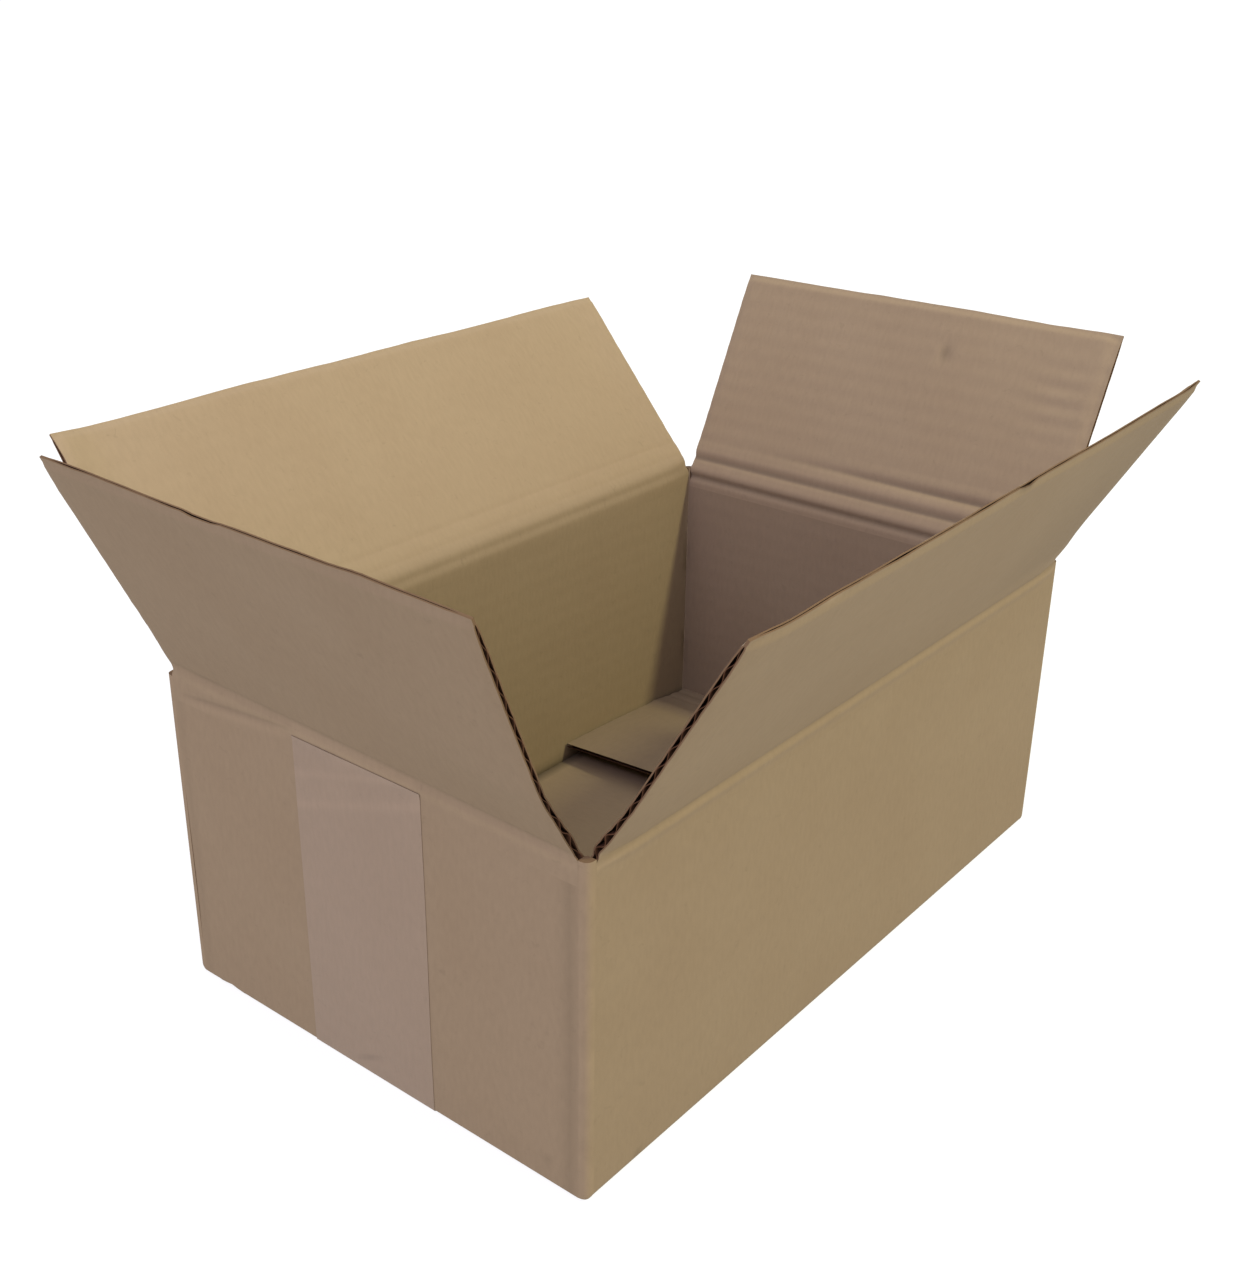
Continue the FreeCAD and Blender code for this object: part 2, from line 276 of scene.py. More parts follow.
def kraft(name, base, dark, pale, washboard, roughness=0.86):
    """Matt kraft paper. washboard is how far the flutes show through, in millimetres."""
    material = bpy.data.materials.new(name)
    material.use_nodes = True
    tree = material.node_tree
    shader = tree.nodes["Principled BSDF"]
    place = add_node(tree, "ShaderNodeAttribute", attribute_name="sheet").outputs["Vector"]
    cloud_size = 38.0
    fibre_size = 1.4
    fleck_size = 2.6
    cloud = add_node(tree, "ShaderNodeTexNoise", {
        "Vector": place, "Scale": 1 / cloud_size, "Detail": 4.0, "Roughness": 0.55})
    stretch = add_node(tree, "ShaderNodeMapping", {"Vector": place, "Scale": (1.0, 0.35, 1.0)})
    fibre = add_node(tree, "ShaderNodeTexNoise", {
        "Vector": stretch.outputs["Vector"], "Scale": 1 / fibre_size, "Detail": 3.0})
    fleck = add_node(tree, "ShaderNodeTexNoise", {
        "Vector": place, "Scale": 1 / fleck_size, "Detail": 2.0, "Distortion": 1.2})
    # The colour sockets of a Mix node are its seventh and eighth, and its colour its third output
    cloudy = add_node(tree, "ShaderNodeMix", {
        0: cloud.outputs["Fac"], 6: linear(dark), 7: linear(pale)}, data_type="RGBA")
    settle = add_node(tree, "ShaderNodeMix", {
        0: 0.5, 6: linear(base), 7: cloudy.outputs[2]}, data_type="RGBA")
    specks = add_node(tree, "ShaderNodeMapRange", {
        "Value": fibre.outputs["Fac"], "From Min": 0.3, "From Max": 0.7, "To Min": 0.97, "To Max": 1.03})
    spots = add_node(tree, "ShaderNodeMapRange", {
        "Value": fleck.outputs["Fac"], "From Min": 0.64, "From Max": 0.78, "To Min": 1.0, "To Max": 0.92})
    speckled = add_node(tree, "ShaderNodeMath", {
        0: specks.outputs["Result"], 1: spots.outputs["Result"]}, operation="MULTIPLY")
    # The tone attribute carries wear and marks, and also painted light and shade.
    wear_and_painted_light = add_node(tree, "ShaderNodeAttribute", attribute_name="tone")
    tone = add_node(tree, "ShaderNodeMath", {0: wear_and_painted_light.outputs["Fac"], 1: 1.0}, operation="ADD")
    shade = add_node(tree, "ShaderNodeMath", {
        0: speckled.outputs["Value"], 1: tone.outputs["Value"]}, operation="MULTIPLY")
    colour = add_node(tree, "ShaderNodeVectorMath", {
        0: settle.outputs[2], "Scale": shade.outputs["Value"]}, operation="SCALE")
    tree.links.new(colour.outputs["Vector"], shader.inputs["Base Color"])
    split = add_node(tree, "ShaderNodeSeparateXYZ", {"Vector": place})
    turns = add_node(tree, "ShaderNodeMath", {
        0: split.outputs["Y"], 1: 2 * math.pi / FLUTE_PITCH}, operation="MULTIPLY")
    wave = add_node(tree, "ShaderNodeMath", {0: turns.outputs["Value"]}, operation="SINE")
    board_wave = add_node(tree, "ShaderNodeMath", {
        0: wave.outputs["Value"], 1: washboard}, operation="MULTIPLY")
    grain = add_node(tree, "ShaderNodeMath", {
        0: fibre.outputs["Fac"], 1: 0.05}, operation="MULTIPLY")
    height = add_node(tree, "ShaderNodeMath", {
        0: board_wave.outputs["Value"], 1: grain.outputs["Value"]}, operation="ADD")
    bump = add_node(tree, "ShaderNodeBump", {
        "Height": height.outputs["Value"], "Distance": MM, "Strength": 1.0})
    tree.links.new(bump.outputs["Normal"], shader.inputs["Normal"])
    shader.inputs["Roughness"].default_value = roughness
    shader.inputs["IOR"].default_value = 1.45
    shader.inputs["Specular IOR Level"].default_value = 0.25
    return material


OUTER_LINER = kraft("outer_kraft_liner", "#7d6b53", "#76634b", "#84735b", 0.015)
CUT_LINER = kraft("cut_kraft_liner", "#644e37", "#58432e", "#705a42", 0.0, roughness=0.95)
# The fluting paper is a little darker than the liners and is painted darker still as shade inside the
# board. The liners' hidden sides and the floor flaps' cut edges also get it, as painted shade.
FLUTING_AND_SHADE_PAPER = kraft("bare_fluting_and_painted_shade", "#4c301c", "#3f2716", "#5a3c26", 0.0, roughness=0.95)
INNER_LINER = kraft("inner_kraft_liner", "#8c7a60", "#857158", "#948268", 0.015)
PAPERS = [OUTER_LINER, CUT_LINER, FLUTING_AND_SHADE_PAPER, INNER_LINER]
print("papers:", [material.name for material in PAPERS])

# %% [markdown]
# ## The folded tray
#
# The walls and the long floor flaps are one sheet. Its outline is a grid from which the slots
# are deleted, as a die cuts them. It is solid board here: no cut edge of it can be looked
# into. The walls stop a little under the top creases, where the flap pieces take over.

# %% Fold the walls and the long floor flaps
CORNER_FULLNESS = 3
SHARPEST_FOLD = 0.15
DENT_PLACE = -60.0
DENT_DEPTH = 0.9


def find_panel(s):
    """The panel that a place along the walls is on and how far from its middle, or None."""
    for panel in PANELS.values():
        from_start = s - panel["start"]
        if -0.001 <= from_start <= panel["run"] + 0.001:
            return panel, from_start - panel["run"] / 2
    return None, 0.0


def wall_bow(s, v):
    """Slight unevenness of the walls, none at the folds."""
    upright = ramp(v, 4, 25) * (1 - ramp(v, 66, 88))
    return 0.45 * upright * ripple(s, v, 70, 3.1)


def drawn_in(drop, radius, w):
    """How far the outer face draws in where it is drop below the start of a rounded foot."""
    return (radius - math.sqrt(radius ** 2 - drop ** 2)) * (1 - w / BOARD)


def foot_rounding(v, w):
    """How far the outer face draws in at the foot of an end wall."""
    return drawn_in(min(FOOT_ROUND, max(0.0, END_FOOT + FOOT_ROUND - v)), FOOT_ROUND, w)


def corner_place(s, v, w):
    """An upright fold, a little fuller than a circle. Its foot changes from wall to wall."""
    before = [item for item in PANELS.values() if item["start"] + item["run"] < s][-1]
    turned = (s - before["start"] - before["run"]) / CORNER_RADIUS
    centre = before["crease"] + before["along"] * (before["run"] / 2)
    centre = centre + before["outward"] * (CREASE_INSET - CORNER_RADIUS)
    outward = before["outward"] * math.cos(turned) + before["along"] * math.sin(turned)
    rounded = abs(math.cos(turned)) ** CORNER_FULLNESS + abs(math.sin(turned)) ** CORNER_FULLNESS
    swell = rounded ** (-1 / CORNER_FULLNESS)
    reach_out = CORNER_RADIUS * (1 + (swell - 1) * (1 - w / BOARD)) - w
    face = Vector((centre.x, centre.y, 0)) + outward * reach_out
    share = turned / (math.pi / 2)
    by_side = share if "end" in before["side"] else 1 - share
    side_draw = drawn_in(max(0.0, FOLD_RADIUS - v), FOLD_RADIUS, w)
    draw = foot_rounding(v, w) * (1 - by_side) + side_draw * by_side
    return face - outward * draw + UP * v


def tray_place(s, v, w):
    """Folds a place into the tray. The side walls turn in below and run on as the floor."""
    panel, u = find_panel(s)
    if panel is None:
        return corner_place(s, v, w)
    outer = panel["crease"] + panel["outward"] * CREASE_INSET + panel["along"] * u
    outer.z = 0
    if panel["side"] == "near_end":
        v += DENT_DEPTH * hump(u, DENT_PLACE, 6) * (1 - ramp(v, END_FOOT, 6))
    is_side = "side" in panel["side"]
    if not is_side or v >= FOLD_RADIUS:
        depth = w + wall_bow(s, v) + (0 if is_side else foot_rounding(v, w))
        return outer - panel["outward"] * depth + UP * v
    along_fold = FOLD_RADIUS - v
    arc = FOLD_RADIUS * math.pi / 2
    if along_fold < arc:
        turned = along_fold / FOLD_RADIUS
        radius = max(FOLD_RADIUS - w, SHARPEST_FOLD)
        inward = FOLD_RADIUS - radius * math.cos(turned)
        return outer - panel["outward"] * inward + UP * (FOLD_RADIUS - radius * math.sin(turned))
    inward = FOLD_RADIUS + along_fold - arc
    return outer - panel["outward"] * inward + UP * w


# %% Tones of the tray
NEAR_END_SPOT = (61.6, 6.5)
NEAR_SIDE_SPOT = (-99.0, 3.0)


def tray_tone(s, v, w):
    """Rubbed pale outer corners, darker strips beside the near end's corners and a few spots. Painted
    shade inside the corners, where the side walls fold into the floor, and over the inside of the far end
    wall.
    """
    panel, u = find_panel(s)
    if panel is None:
        # The outer faces of the corners are rubbed pale. Inside the corners the paper is darkened as
        # painted shade.
        return 0.07 * ripple(s, v, 5, 6.0) + 0.05 if w < INNER_SIDE else -0.1
    if w > INNER_SIDE:
        from_fold = max(0.0, v - FOLD_RADIUS, FOLD_RADIUS * (1 - math.pi / 2) - v)
        # Painted shade inside, where the side walls fold into the floor.
        painted_seam_shade = -0.62 * hump(from_fold, 0, 3.6) if "side" in panel["side"] else 0.0
        # The far end wall is painted darker inside, as shade that the lamps don't give.
        return painted_seam_shade + (-0.12 if panel["side"] == "far_end" else 0.0)
    if panel["side"] == "near_end":
        # Darker strips beside the two corners of the near end wall.
        beside_corner = -0.14 * hump(u, 69.5, 3.4) - 0.06 * hump(u, -70, 2.5)
        return beside_corner - 0.25 * spot(u, v, NEAR_END_SPOT, 2.2, 2.0)
    if panel["side"] == "near_side":
        return -0.22 * spot(u, v, NEAR_SIDE_SPOT, 2.4, 2.0)
    return 0.0


# %% Cut the sheet
WALL_STEP = 2.4
FLOOR_STEP = 4.5
FOLD_STEP = 0.55
FOOT_STEP = 0.43
HALF_WIDTH = -PANELS["near_side"]["crease"].y + CREASE_INSET
FLOOR_REACH = HALF_WIDTH - SEAM_GAP - FOLD_RADIUS + FOLD_RADIUS * math.pi / 2
columns = [0.0]
for side in ORDER:
    panel = PANELS[side]
    stop = panel["start"] + panel["run"]
    columns += places(panel["start"], stop, WALL_STEP)[1:]
    columns += places(stop, stop + CORNER_ARC, CORNER_ARC / 8)[1:]
floor_rows = places(FOLD_RADIUS - FLOOR_REACH, FOLD_RADIUS - FOLD_RADIUS * math.pi / 2, FLOOR_STEP)
fold_rows = places(floor_rows[-1], END_FOOT, FOLD_STEP)[1:]
foot_rows = places(END_FOOT, FOLD_RADIUS, FOOT_STEP)[1:]
wall_rows = places(FOLD_RADIUS, WALL_CUT, WALL_STEP)[1:]
tray_sheet = flat_grid(columns, floor_rows + fold_rows + foot_rows + wall_rows + [SLOT_LEVEL])
waste = []
for face in tray_sheet.faces:
    middle = face.calc_center_median()
    panel, u = find_panel(middle.x)
    side_panel = panel is not None and "side" in panel["side"]
    below = middle.y < END_FOOT and not side_panel
    above = middle.y > WALL_CUT and panel is not None
    if below or above:
        waste.append(face)
bmesh.ops.delete(tray_sheet, geom=waste, context="FACES")
thicken(tray_sheet, BOARD)
folded_tray = finish_piece("folded_tray", tray_sheet, tray_place, PAPERS, tray_tone)
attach(folded_tray, "tray")
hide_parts("tray_body")

# %% [markdown]
# ## Corrugated board
#
# Where the board's cut edges show, it needs its real inside: an outer liner, an inner liner
# and a wavy medium glued between them. A picture of flutes on a flat edge would have no depth.
# Three thin sheets have, and the light gets lost in them as it does in real board. The medium and the
# hidden sides of the liners are also painted dark, as shade.

# %% Build the three layers
FOLD_ZONE = 24.0
EDGE_ZONE = 4.0
EDGE_STEP = 0.6
OUTER_STEP = 2.0
INNER_STEP = 0.9
MEDIUM_HELD_BACK = 0.25


def board_layers(columns, low, high, edge_wander, rim=RIM):
    """A flat corrugated board from row low to row high, with its layers in w."""
    def trim(bm, inset):
        """Lets the cut at the far edge wander, and holds the layer back from it."""
        for vert in bm.verts:
            if vert.co.y > high - EDGE_ZONE:
                share = (vert.co.y - high + EDGE_ZONE) / EDGE_ZONE
                vert.co.y += share * (edge_wander(vert.co.x) - inset)

    near_fold = places(low, low + FOLD_ZONE, FOLD_STEP)
    near_edge = places(high - EDGE_ZONE, high, EDGE_STEP)
    outer_rows = places(low + FOLD_ZONE, high - EDGE_ZONE, OUTER_STEP)[1:-1]
    inner_rows = places(low + FOLD_ZONE, high - EDGE_ZONE, INNER_STEP)[1:-1]
    outer = flat_grid(columns, near_fold + outer_rows + near_edge)
    thicken(outer, LINER, hidden_side=1, rim=rim)
    trim(outer, 0)
    inner = flat_grid(columns, near_fold + inner_rows + near_edge)
    for vert in inner.verts:
        vert.co.z = BOARD - LINER
    thicken(inner, LINER, hidden_side=-1, rim=rim)
    trim(inner, 0)
    crest = (BOARD - 2 * LINER - MEDIUM) / 2
    medium = flat_grid(columns, places(low + 0.4, high - 0.3, FLUTE_PITCH / 14))
    for vert in medium.verts:
        phase = 2 * math.pi * (vert.co.y - FIRST_INNER_TIP) / FLUTE_PITCH
        vert.co.z = LINER + crest * (1 + math.cos(phase))
    thicken(medium, MEDIUM)
    for face in medium.faces:
        face.material_index = DARK_INSIDE
    trim(medium, MEDIUM_HELD_BACK)
    join(outer, inner)
    join(outer, medium)
    return outer


# %% [markdown]
# ## Creases and marks of the top flaps
#
# A crease is pressed into the board before it is folded. It crushes the flutes beside it, so
# the inner liner rises in soft beads with narrow valleys between them, strongest at the fold.
# Each flap also has its own bends. They are small functions of the place on the sheet, added
# to the depth before the fold, which keeps both liners and the medium together.

# %% Relief of the liners
MOST_PRESSED = 0.93


def beads(v, height, low, high, end):
    """Valleys between the tips of the crushed flutes, full from low to high, gone at end."""
    from_tip = (v - FIRST_INNER_TIP) % FLUTE_PITCH - FLUTE_PITCH / 2
    broad = 0.5 + 0.5 * math.cos(2 * math.pi * from_tip / FLUTE_PITCH)
    valley = 0.3 * broad + 0.7 * hump(from_tip, 0, 2.0)
    fade = ramp(v, low - 3, low) * (1 - ramp(v, high, end))
    return height * valley * fade


def crushed_edges(marks, u, v):
    """How far each liner is pressed in along the cuts. The knife nearly closes the free edge."""
    from_cut = marks["run"] / 2 - abs(u)
    reach = marks["reach"]
    open_root = 1 - 0.75 * hump(v, 5, 9)
    above_slot = ramp(v, marks["slot"], marks["slot"] + 3)
    sides = (0.5 + 0.17 * ripple(u, v, 3.4, 11.0)) * (1 - ramp(from_cut, 0, 3.4))
    sides = sides * open_root * above_slot
    tips = 0.35 * (1 - ramp(from_cut, 0, 6)) * ramp(v, reach - 9, reach)
    edge = (0.84 + 0.16 * ripple(u, 0, 13, 8.0)) * ramp(v, reach - 2.8, reach - 0.1)
    return min(sides + edge + tips, MOST_PRESSED)


def relief(marks, u, v, fold):
    """Depth of the outer and of the inner face at a place, and how far both are bent in."""
    around = v - fold
    inside_cuts = ramp(marks["run"] / 2 - abs(u), 0, 5)
    outer = marks["groove"] * hump(around, 0.6, 1.2) - marks["ridge"] * hump(around, -2.0, 2.2)
    outer *= inside_cuts
    upper = 1 - marks["upper_fade"] * ramp(v, 5, 8) * ramp(u, -40, 50)
    inner = BOARD - 0.5 * hump(around, 0.2, 2.6)
    inner -= upper * beads(v, marks["bead"], -3.0, 9.5, marks["bead_end"])
    drift = 0.8 * ripple(u, v, 45, 12.0)
    wave = 0.5 - 0.5 * math.cos(2 * math.pi * (v + drift - FIRST_INNER_TIP) / FLUTE_PITCH)
    inner -= marks["washboard"] * wave * ramp(v, 6, 14) * (1 + 0.9 * ripple(u, v, 26, 6.0))
    pressed = crushed_edges(marks, u, v)
    return outer + pressed, inner - pressed, marks["bend"](u, v)


def fold_level(fold, run, u):
    """Where the board folds, above the turning axis. A low fold comes up at the two cuts."""
    level = fold[0] + (fold[1] - fold[0]) * (u / run + 0.5)
    by_cut = 1 - ramp(run / 2 - abs(u), 0, 14)
    return level + (1.5 * by_cut if level < -1 else 0.0)


def bent_chord(v, knee, reach):
    """1 at the knee of a flap that is bent there, 0 at its crease and its free edge."""
    if v <= 0:
        return 0.0
    straight = v / knee if v < knee else (reach - v) / (reach - knee)
    return max(0.0, straight) - 0.05 * hump(v, knee, 4)


# %% Fold a flap
HALF_FOLD = 1.6
LIFT_TOP = 12.0


def flap_place(panel, marks, s, v, w):
    """Folds a place on the sheet about a top crease. v is measured from the crease here."""
    u = s - panel["start"] - panel["run"] / 2
    share = u / panel["run"] + 0.5
    pull = marks["slot_side"][1 if u > 0 else 0]
    u *= 1 - pull * ramp(v, marks["slot"] - 0.2, marks["slot"] + 1) / (panel["run"] / 2)
    fold = fold_level(marks["fold"], panel["run"], u)
    lift = marks["lift"][0] + (marks["lift"][1] - marks["lift"][0]) * share
    outer, inner, shift = relief(marks, u, v, fold)
    # The liners keep their thickness, and only the medium between them is crushed
    if w <= LINER:
        depth = outer + w
    elif w >= BOARD - LINER:
        depth = inner + w - BOARD
    else:
        share = (w - LINER) / (BOARD - 2 * LINER)
        depth = (outer + LINER) * (1 - share) + (inner - LINER) * share
    depth += shift - CREASE_INSET
    lean = panel["lean"] + math.radians(marks["twist"](u))
    v += lift * ramp(v, WALL_CUT - panel["crease"].z, LIFT_TOP)
    start = fold - HALF_FOLD
    along_fold = min(max(v - start, 0.0), 2 * HALF_FOLD)
    turned = lean * along_fold / (2 * HALF_FOLD)
    radius = 2 * HALF_FOLD / lean
    beyond = max(v - start - 2 * HALF_FOLD, 0.0)
    out = radius * (1 - math.cos(turned)) + beyond * math.sin(turned)
    rise = min(v, start) + radius * math.sin(turned) + beyond * math.cos(turned)
    place = panel["crease"] + panel["along"] * u
    place = place + panel["outward"] * (out - depth * math.cos(turned))
    return place + UP * (rise + depth * math.sin(turned))


# %% Marks of each flap
SIDE_MARKS = {
    "bead": 0.12, "bead_end": 12.0, "washboard": 0.02, "groove": 0.25, "ridge": 0.5,
    "upper_fade": 0.0, "slot_side": (0.8, 0.8)}
END_MARKS = {
    "bead": 0.95, "bead_end": 17.0, "washboard": 0.045, "groove": 0.25, "ridge": 0.5,
    "upper_fade": 0.9, "slot_side": (-0.8, 0.4)}
REACH = PANELS["near_end"]["reach"]
NEAR_END_FOLD = (3.2, 0.9)
NICK_PLACE = (2.0, 73.4)
PEELED_PLACE = (-88.0, 73.8)
DIMPLE_PLACE = (-15.5, 57.6)


def near_end_wrinkle(u):
    """Height above the crease of the wrinkle that runs up to the fold of the near end."""
    return -4.0 + 3.6 * (u + 64) / 38.5


def near_end_bend(u, v):
    """A knee by the near corner, where the flap was bent back, and the wrinkle at its fold."""
    near_corner = ramp(u, 5, 72)
    knee = -2.6 * near_corner * bent_chord(v, 21.5, REACH)
    wrinkle = 0.3 * hump(v, near_end_wrinkle(u), 1.3) * ramp(u, -70, -60) * (1 - ramp(u, -32, -22))
    return knee + wrinkle + 0.35 * ramp(v, 20, 70) * ripple(u, v, 40, 1.5)


def near_side_bend(u, v):
    """A slight knee one way at the left end and the other way at the right end."""
    knee = -0.9 * (1 - ramp(u, -116, -70)) + 0.5 * ramp(u, 70, 116)
    return knee * bent_chord(v, 17, REACH) + 0.3 * ramp(v, 20, 70) * ripple(u, v, 45, 2.5)


def far_side_bend(u, v):
    """Nearly flat, with one tip bent in."""
    return 0.3 * ramp(v, 20, 70) * ripple(u, v, 50, 3.5) + 1.6 * ramp(u, 100, 116) * ramp(v, 45, 74)


def far_end_bend(u, v):
    """A dimple, small slanted wrinkles at one edge, and flutes that stand out beside them."""
    dimple = 0.6 * spot(u, v, DIMPLE_PLACE, 2.6, 6)
    slanted = math.sin(2 * math.pi * (v + 0.7 * u) / 3.2)
    wrinkle = 0.16 * slanted * hump(u, -67, 9) * hump(v, 46, 11)
    wavy = 0.2 * math.sin(2 * math.pi * (v - 3.6) / FLUTE_PITCH) * hump(u, -58, 18) * hump(v, 50, 24)
    return -dimple + wrinkle + wavy + 0.3 * ramp(v, 20, 70) * ripple(u, v, 40, 4.5)


# For each flap: its marks, its bends, how its lean changes along it in degrees, where it folds
# above the turning axis at its left and right end, and how far the board rides up at each end
FLAPS = {
    "near_end": (SIDE_MARKS, near_end_bend, lambda u: 0.8 - 0.2 * u / 72, NEAR_END_FOLD, (2.5, 0.8)),
    "near_side": (SIDE_MARKS, near_side_bend, lambda u: -1.0 - 0.6 * u / 116, (-3.6, -3.6), (-3.0, 0.3)),
    "far_end": (END_MARKS, far_end_bend, lambda u: ripple(u, 0, 60, 5.0) + 2 * ramp(-u, 10, 72),
                (0.9, 0.9), (1.6, 1.2)),
    "far_side": (SIDE_MARKS, far_side_bend, lambda u: 0.3 * u / 116 + 1.4 * ramp(u, 40, 116),
                 (-2.9, -2.9), (-2.0, -2.0)),
}


# %% [markdown]
# ## Marks, and painted light and shade
#
# Paper isn't one even tone. Each function here gives, for a place on one flap, the share by which the
# paper is painted paler or darker. A few are the paper's own marks: a peeled place, a nick, spots. The
# rest is painted light and shade. There are painted highlights where a fold or bead stands out and painted
# shade in creases and grooves. A few broad shares make up for light that the two lamps don't give.

# %% Tones of the flaps
# Where the far end flap's painted shade grooves and painted highlight crests lie, as middle and width
# above the crease.
GROOVE_SHADE_PLACES = ((-2.9, 1.5), (3.5, 1.3), (9.9, 1.3))
CREST_HIGHLIGHT_PLACES = ((0.3, 2.4), (6.6, 2.4))


def near_end_tone(u, v, w):
    """A painted highlight in a band under the fold, painted shade in a line along the crease, the
    wrinkle's painted shade and highlight, the tape's paler colour below the fold, and painted shade over
    the flap above the fold.
    """
    if w > INNER_SIDE:
        return 0.0
    fold = fold_level(NEAR_END_FOLD, PANELS["near_end"]["run"], u)
    # A painted highlight in a band under the fold, and a line of painted shade in the crease.
    fold_highlight_and_shade = 0.11 * hump(v, fold - 3.0, 2.0) - 0.16 * hump(v, fold + 0.6, 1.3)
    fold_highlight_and_shade *= 0.75 + 0.4 * ripple(u, 0, 16, 40.0)
    # The wrinkle: a line of painted shade with a painted highlight just below it.
    wrinkle = -0.16 * hump(v, near_end_wrinkle(u), 0.9) + 0.08 * hump(v, near_end_wrinkle(u) - 2, 1.8)
    wrinkle *= ramp(u, -72, -60) * (1 - ramp(u, -32, -20))
    taped = 0.05 * (abs(u) < TAPE_WIDTH / 2 and v < fold)
    # The flap above the fold is painted a little darker, as shade.
    return fold_highlight_and_shade + wrinkle + taped - 0.07 * ramp(v, fold, fold + 3)


def near_side_tone(u, v, w):
    """A painted highlight along the fold with painted shade just above it, a peeled place, a nick on the
    free edge, and painted shade over the right part of the flap.
    """
    if w > INNER_SIDE:
        return 0.0
    # A painted highlight along the fold, with painted shade just above it.
    fold_highlight_and_shade = 0.15 * hump(v, -4.6, 1.3) - 0.12 * hump(v, -2.4, 1.8)
    fold_highlight_and_shade *= 0.8 + 0.4 * ripple(u, 0, 18, 41.0)
    peeled = 0.22 * spot(u, v, PEELED_PLACE, 7, 1.6)
    nick = -0.4 * spot(u, v, NICK_PLACE, 5, 2)
    # The right part of the flap is painted darker, as shade that the lamps don't give.
    return fold_highlight_and_shade + peeled + nick - 0.12 * ramp(u, 20, 116) * ramp(v, 0, 10)


def far_end_tone(u, v, w):
    """Darker paper at the dimple, painted shade in the grooves between the beads, and painted highlights
    on the crests.
    """
    if w < INNER_SIDE:
        return 0.0
    darker_at_dimple = -0.3 * spot(u, v, DIMPLE_PLACE, 1.8, 5)
    upper = 1 - END_MARKS["upper_fade"] * ramp(v, 5, 8) * ramp(u, -40, 50)
    # Painted shade in the grooves between the beads, and painted highlights on their crests.
    groove_shade = sum(hump(v, level, width) for level, width in GROOVE_SHADE_PLACES)
    crest_highlight = sum(hump(v, level, width) for level, width in CREST_HIGHLIGHT_PLACES)
    return darker_at_dimple + upper * (0.1 * crest_highlight - 0.3 * groove_shade)


def far_side_tone(u, v, w):
    """A paler inside, which makes up for light."""
    return 0.12 * ramp(v, -2, 6) if w > INNER_SIDE else 0.0


TONES = {
    "near_end": near_end_tone, "near_side": near_side_tone,
    "far_end": far_end_tone, "far_side": far_side_tone,
}


# %% Free edges and columns


def cut_wander(side):
    """How far the knife wandered along a free edge, in millimetres."""
    seed = float(ORDER.index(side))
    steps = {
        "near_end": lambda u: -0.7 * ramp(u, -17, -14) + 0.5 * ramp(u, -8, -3) + 0.4 * hump(u, 40, 9),
        "near_side": lambda u: 0.6 * hump(u, PEELED_PLACE[0], 12) - 1.2 * hump(u, NICK_PLACE[0], 5),
    }.get(side, lambda u: 0.0)
    middle = PANELS[side]["start"] + PANELS[side]["run"] / 2
    return lambda s: 0.3 * ripple(s, 0, 34, seed) + 0.16 * ripple(s, 0, 9, seed + 20) + steps(s - middle)


def board_columns(start, stop, step=3.4):
    """Columns across a flap, close together by the two cuts, where the board is crushed."""
    by_cut = [0, 0.5, 1.2, 2.2, 3.4]
    left = [start + inset for inset in by_cut]
    right = [stop - inset for inset in reversed(by_cut)]
    return left + places(left[-1], right[0], step)[1:-1] + right


# %% Make the four flaps
for side in ORDER:
    panel = PANELS[side]
    kind, bend, twist, fold, lift = FLAPS[side]
    marks = dict(kind, bend=bend, twist=twist, fold=fold, lift=lift, reach=panel["reach"],
                 run=panel["run"], slot=SLOT_LEVEL - panel["crease"].z)
    step = 2.0 if side == "far_end" else 3.4
    columns = board_columns(panel["start"], panel["start"] + panel["run"], step)
    middle = panel["start"] + panel["run"] / 2
    bottom = WALL_CUT - panel["crease"].z
    board = board_layers(columns, bottom, panel["reach"], cut_wander(side))
    piece = finish_piece(side + "_board", board,
                         lambda s, v, w: flap_place(panel, marks, s, v, w), PAPERS,
                         lambda s, v, w: TONES[side](s - middle, v, w))
    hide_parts(side + "_flap")
    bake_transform(piece)

# %% [markdown]
# ## Short floor flaps and glue tab
#
# The short floor flaps were folded in first and lie on the long ones. Nothing glues them, so
# they spring up in the middle. The knife pressed their free edges to half their thickness. The
# glue tab was pressed flat against the wall.

# %% Sprung floor flaps
END_WALL = PANELS["far_end"]["crease"].x + CREASE_INSET - BOARD
FLOOR_FLAP = 71.9
CROWN = 8.0
CORNER_DROP = 3.6
EDGE_PRESS = 0.5
# The short floor flaps are painted darker, as shade that the lamps don't give.
PAINTED_FLOOR_SHADE = -0.16


def floor_place(side, s, v, w):
    """v runs in from the wall. The flap is highest at the middle of its free edge."""
    panel = PANELS[side]
    u = s - panel["start"] - panel["run"] / 2
    along_flap = min(max(v / FLOOR_FLAP, 0.0), 1.0)
    spring = CROWN - CORNER_DROP * (abs(u) / 70) ** 1.3
    rise = spring * (1 - (1 - along_flap) ** 1.6)
    root = (beads(v, 0.4, 0, 8, 14) - 0.5 * hump(v, 19, 5)) * w / BOARD
    root -= EDGE_PRESS * (BOARD - w) * ramp(v, FLOOR_FLAP - 3, FLOOR_FLAP)
    place = panel["outward"] * (END_WALL - v * math.cos(math.radians(4)))
    return place + panel["along"] * u + UP * (BOARD + FLOOR_GAP + rise + w - root)


